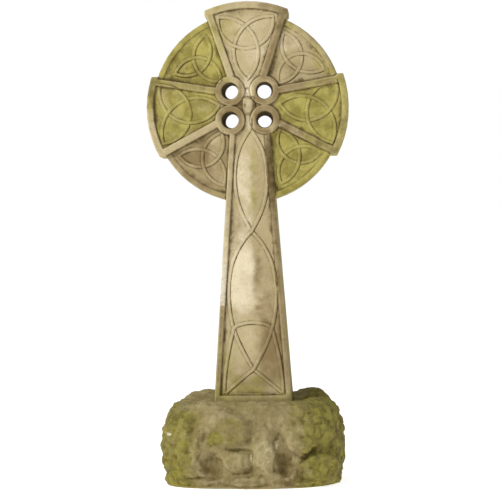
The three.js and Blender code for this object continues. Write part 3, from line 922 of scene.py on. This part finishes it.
# The copy is carved on its front alone. It is thicker towards the foot, and the carving grows with it
cross = remeshed_copy(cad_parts["cross"], "cross_look", CROSS_VOXEL)
spots = places(cross.data)
facing = directions(cross.data)
x, y, z = spots.T.copy()
depth_share = 1 + (FOOT_DEPTH_SHARE - 1) * (WHEEL_Z - z) / SHAFT_LENGTH
neck_share = smooth(y, -ARM_FACE, 0) * (1 - smooth(y, 0, ARM_FACE))
for hole, (stands_in, hang) in zip(HOLES, HOLE_NECKS):
    across, up = from_hole_axis(x, y, z, hole)
    away = np.maximum(np.hypot(across, up), 1)
    closing = (stands_in + hang * np.maximum(up / away, 0)) * neck_share * (away < HOLE_RADIUS + 1)
    spots[:, 0] -= closing * across / away
    spots[:, 2] -= closing * up / away
front = np.flatnonzero(y < -CARVED_FROM * depth_share)
level = -carving(x[front], z[front])[0] * depth_share[front]
spots[front, 1] = np.where(facing[front, 1] < -FACING_FRONT, level, np.maximum(y[front], level))
put_places(cross.data, spots)

thinning = cross.modifiers.new("thinning", "DECIMATE")
thinning.ratio = TRIANGLE_BUDGET / (2 * len(cross.data.polygons))
bpy.ops.object.modifier_apply(modifier=thinning.name)

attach(cross, "root")
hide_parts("cross")

# Where the cross is mossy, brown, bleached, chipped and stained, placed from the wheel's middle
CROSS_LICHEN = [
    (0.22, -4, -190, 30, 130),
    (0.4, 16, -190, 16, 130),
    (-0.12, -200, 20, 40, 60),
    (0.25, 0, -690, 60, 36),
    (0.5, -56, 66, 26, 14),
    (0.3, 44, 6, 18, 14),
    (0.3, 60, -52, 14, 20),
]
CROSS_UMBER = [
    (-0.25, -79, -95, 26, 42),
    (-0.3, 3, 38, 14, 20),
    (0.35, -40, 4, 28, 18),
    (0.25, 0, 4, 24, 24),
    (0.8, -136, -123, 46, 20),
    (0.9, -155, 93, 46, 32),
    (0.5, 5, -690, 70, 40),
    (0.3, -24, -290, 30, 40),
]
PANEL_UMBER = [
    (0.25, 0, 235, 90, 20),
    (0.35, 36, -500, 24, 70),
    (0.6, 20, -435, 18, 120),
    (0.25, 60, -450, 34, 110),
]
CROSS_BLEACHED = [
    (0.5, -8, -190, 42, 150),
    (0.86, -16, -415, 46, 160),
    (0.3, 10, 170, 70, 110),
    (0.6, 2, 54, 20, 44),
    (0.45, 2, -40, 16, 26),
    (0.4, -79, -95, 26, 42),
    (0.6, 105, 160, 40, 40),
    (0.4, 3, 0, 14, 26),
    (0.5, 2, 38, 14, 22),
    (0.24, -160, 8, 70, 50),
    (0.15, 0, -580, 50, 60),
    (0.4, -44, -455, 14, 66),
]
CROSS_CHIPS = [(0.35, -205, -60, 30, 60), (0.4, -62, 62, 26, 12), (0.4, -90, 190, 30, 60)]
CROSS_STAINS = [(0.5, -155, 93, 46, 32), (0.25, -136, -123, 46, 18)]

# How far to both sides of the middle the tints of the front and the back run into each other
TINT_CHANGE = 12

spots = places(cross.data)
facing = directions(cross.data)
x, y, z = spots.T
level, crevice_dirt_and_shade, worn, raised, panel, radius, from_hole = carving(x, z)
fronted = smooth(-facing[:, 1], 0.0, FACING_FRONT) * (y < 0)
backed = smooth(facing[:, 1], 0.0, FACING_FRONT) * (y > 0)
to_front = smooth(-y, -TINT_CHANGE, TINT_CHANGE)
# The walls inside the holes, which are painted dark: painted shade, with some dirt
from_axis = np.min([np.hypot(*from_hole_axis(x, y, z, hole)) for hole in HOLES], axis=0)
in_hole = 1 - smooth(from_axis, HOLE_RADIUS + 0.4, HOLE_RADIUS + 1.6)
in_hole *= smooth(y, 2 - ARM_FACE, 8 - ARM_FACE) * smooth(-y, 2 - ARM_FACE, 8 - ARM_FACE)

# The places that a tint keeps to: quarters, arms, shaft, and their borders, panels and wheel
u, v = x, z - WHEEL_Z
out = np.abs(u)
upper, lower = smooth(v, -15, 15), smooth(-v, -15, 15)
left, right = smooth(-u, -10, 10), smooth(u, -10, 10)
on_panel = smooth(panel, -1, 1)
on_border = smooth(raised, -1, 1) * (1 - on_panel)
on_wheel = 1 - smooth(raised, -1, 1)
on_collar = smooth(COLLAR_RADIUS + 1 - from_hole, -1, 1)
side_arm = (np.abs(v) < 0.42 * out + 45) * smooth(out, 55, 85)
top_arm = smooth(v, 55, 80) * (out < 110)
on_shaft = smooth(-v, 50, 70) * (np.abs(u - SHAFT_SHIFT) < shaft_half(z) + 3)
side_border = on_border * side_arm
top_border = on_border * top_arm
shaft_border = on_border * on_shaft

lichen = on_wheel * (0.9 * left * upper + 0.14 * right * upper + 0.12 * left * lower + 0.95 * right * lower)
lichen += 0.3 * on_wheel * (right * upper * smooth(radius, 190, 225) + smooth(-v, 190, 230))
lichen += on_panel * side_arm * (0.8 * left + 0.92 * right)
lichen += side_border * (0.45 * left + 0.5 * right) * smooth(out, 60, 200)
lichen += side_border * (0.35 * smooth(out, 200, 235) + 0.3 * left * upper - 0.45 * left * lower)
lichen += top_border * 0.55 * smooth(-u, 20, 80)
lichen += on_panel * top_arm * spotted(u, v, [(0.45, -50, 190, 45, 50)])
lichen += on_shaft * spotted(u, v, [(0.3, -60, -640, 60, 140)]) + 0.5 * smooth(-v, 640, 740)
lichen += spotted(u, v, CROSS_LICHEN)
umber_and_shade = on_wheel * (0.32 * right * upper + 0.55 * left * lower)
umber_and_shade += 0.16 * on_collar * (raised > 0)
umber_and_shade += spotted(u, v, [(0.6, 0, 0, 120, 92)]) * smooth(np.abs(u - 2), 10, 20) * (raised > 0)
umber_and_shade += side_border * (0.55 * upper + 0.25 * right + 0.35 * right * lower)
# The top arm's right border and the right border of the shaft's upper part are browned as painted shade, the
# rest as stain
umber_and_shade += top_border * 0.85 * smooth(u, 10, 50)
umber_and_shade += shaft_border * (0.3 * left + 1.1 * right) * smooth(v, -640, -300)
umber_and_shade += shaft_border * (0.9 * left + 0.55 * right) * smooth(-v, 380, 560)
umber_and_shade += on_shaft * spotted(u, v, [(0.75, 60, -600, 60, 130)])
umber_and_shade += on_panel * spotted(u, v, PANEL_UMBER) + spotted(u, v, CROSS_UMBER)
umber_and_shade += on_panel * on_shaft * 0.1 * (1 - smooth(lens_rise(x, z), 0, 0.05))
bleached = spotted(u, v, CROSS_BLEACHED) + shaft_border * spotted(u, v, [(0.7, -62, -405, 40, 150)])
chips = spotted(u, v, CROSS_CHIPS) + shaft_border * spotted(u, v, [(0.82, -64, -440, 30, 100)])
stain_and_shade = spotted(u, v, CROSS_STAINS)
stain_and_shade += side_border * (left * (0.3 * upper + 0.3 * smooth(out, 205, 235)) + 0.42 * right * lower)
# The right borders of the shaft and of the top arm are darkened as painted shade
stain_and_shade += shaft_border * right * 0.5 * smooth(v, -330, -150) * smooth(-v, 60, 130)
stain_and_shade += shaft_border * right * 0.35 * smooth(v, -560, -400)
stain_and_shade += top_border * 0.5 * smooth(u, 50, 90)

# The front has its own tints, and the back and the sides an even share of each
# Dark lines at the foot of the steps on the back: dirt and painted shade
back_steps = line_at(raised, -1.6, 2.5) * (radius < WHEEL_RADIUS) * backed
# The dark mask also paints the hole walls with painted shade
store(cross.data, "crevice_dirt_and_shade", np.maximum((crevice_dirt_and_shade + stain_and_shade) * fronted + 0.7 * back_steps, in_hole))
store(cross.data, "worn", worn * fronted)
behind = 0.42 + 0.3 * on_wheel + 0.2 * smooth(-v, 500, 740)
store(cross.data, "lichen", lichen * to_front + behind * (1 - to_front))
store(cross.data, "umber_and_shade", umber_and_shade * to_front + (0.35 - 0.1 * on_wheel) * (1 - to_front))
store(cross.data, "bleached", bleached * to_front + 0.3 * (1 - to_front))
store(cross.data, "chips", chips * fronted)

# Cast stone from a smooth mould, weathered: to the eye it is matt, warm and sandy, bleached down the middle
# of the shaft and browner on the borders, with painted shade on some right-hand borders, with a thin
# yellow-green film, rubbed edges, and dirt and painted shade in the cuts, along the steps and in the holes.
# The real grain is finer than the render shows, so it is drawn at 1.8 mm
stone, tree = new_material("weathered_cast_stone")
pattern = patterns_on(tree, {
    "tones": (70, 6, 0.0, 0.6),
    "bleached edge": (60, 5, 6.1, 0.6),
    "umber edge": (45, 5, 8.2, 0.6),
    "film tones": (34, 3, 1.1, 0.6),
    "film edge": (40, 6, 4.4, 0.6),
    "chip edge": (9, 4, 3.3, 0.75),
    "dirt edge": (20, 4, 7.7, 0.6),
    "grain": (1.8, 3, 2.9, 0.7),
    "pocks": (6, 4, 0.8, 0.7),
    "swells": (14, 3, 5.5, 0.6),
})
face = coat(tree, linear("#AB9A73"), linear("#BDAC84"), 0.35, 0.65, pattern=pattern["tones"])
face = coat(tree, face, linear("#E0D2B2"), 0.1, 1.0, follows="bleached", pattern=pattern["bleached edge"])
# Brown stains, and painted shade on some right-hand borders
face = coat(tree, face, linear("#836F4A"), 0.1, 0.95, follows="umber_and_shade", pattern=pattern["umber edge"])
film = coat(tree, linear("#867B38"), linear("#ABA055"), 0.35, 0.65, pattern=pattern["film tones"])
face = coat(tree, face, film, 0.15, 0.85, follows="lichen", pattern=pattern["film edge"])
face = coat(tree, face, linear("#D2C49C"), 0.1, 1.0, 0.35, follows="worn")
face = coat(tree, face, linear("#D6CDB6"), 0.55, 0.8, follows="chips", pattern=pattern["chip edge"])
# Dirt and painted shade in the cuts, along the steps and in the holes
face = coat(tree, face, linear("#4F3F1C"), 0.2, 1.1, follows="crevice_dirt_and_shade", pattern=pattern["dirt edge"])
face = coat(tree, face, linear("#7E6F48"), 0.3, 0.75, 0.22, pattern=pattern["grain"])
face = coat(tree, face, linear("#6F6038"), 0.5, 0.75, 0.32, pattern=pattern["pocks"])
height = node(
    tree, "ShaderNodeMath", {"operation": "MULTIPLY_ADD"},
    in_0=pattern["swells"], in_1=1.2, in_2=pattern["grain"],
)
rise = node(tree, "ShaderNodeBump", Strength=0.35, Distance=0.0012, Height=height.outputs[0])
surface = node(
    tree, "ShaderNodeBsdfPrincipled",
    Base_Color=face, Roughness=0.88, Specular_IOR_Level=0.3, Normal=rise.outputs[0],
)
node(tree, "ShaderNodeOutputMaterial", Surface=surface.outputs[0])
cross.data.materials.append(stone)
